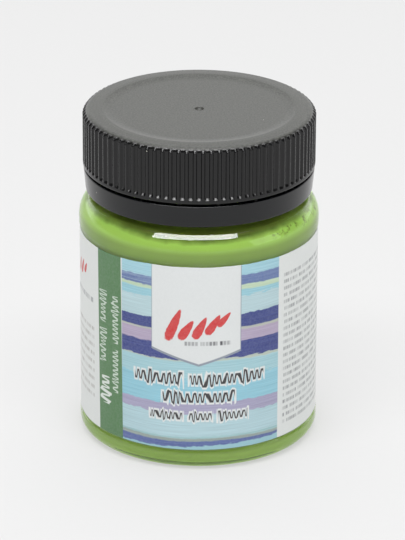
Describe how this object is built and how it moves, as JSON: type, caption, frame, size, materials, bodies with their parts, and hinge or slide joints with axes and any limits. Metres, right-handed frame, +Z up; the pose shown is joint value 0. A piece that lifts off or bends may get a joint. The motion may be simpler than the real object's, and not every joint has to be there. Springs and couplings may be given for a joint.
{
  "type": "paint jar",
  "caption": "Small clear wide-mouth jar of acrylic paint with a ribbed screw cap, a breakaway tamper band, a sealing liner and a wrap-around label.",
  "frame": {"origin": "centre of the plane that the jar stands on, on the jar's axis", "axes": "+Z up along the jar's axis; the middle of the label's front faces -Y, and +X is to its right"},
  "size_m": [0.0423, 0.0422, 0.06],
  "materials": {
    "clear_pet": "clear, glossy, blown PET",
    "green_paint": "wet acrylic paint",
    "printed_label": "printed, gloss-laminated self-adhesive film",
    "black_pp": "black polypropylene, fine-grained",
    "liner_foam": "white foamed polyethylene"
  },
  "bodies": {
    "jar": {"jar": "clear_pet", "paint_fill": "green_paint", "wrap_label": "printed_label"},
    "band": {"tamper_band": "black_pp", "breakaway_bridges": "black_pp"},
    "liner": {"sealing_liner": "liner_foam"},
    "cap": {"screw_cap": "black_pp"}
  },
  "joints": [
    {"name": "cap_lift", "type": "slide", "parent": "jar", "child": "liner", "axis": [0, 0, 1], "range_m": [0, 0.01501]},
    {"name": "cap_turn", "type": "hinge", "parent": "liner", "child": "cap", "pos_m": [0, 0, 0.055], "axis": [0, 0, 1], "range_deg": [0, 900]},
    {"name": "band_turn", "type": "hinge", "parent": "jar", "child": "band", "pos_m": [0, 0, 0.0474], "axis": [0, 0, 1], "continuous": true}
  ],
  "couplings": [
    {"joint": "cap_lift", "follows": "cap_turn", "m_per_rad": 0.00095493}
  ]
}
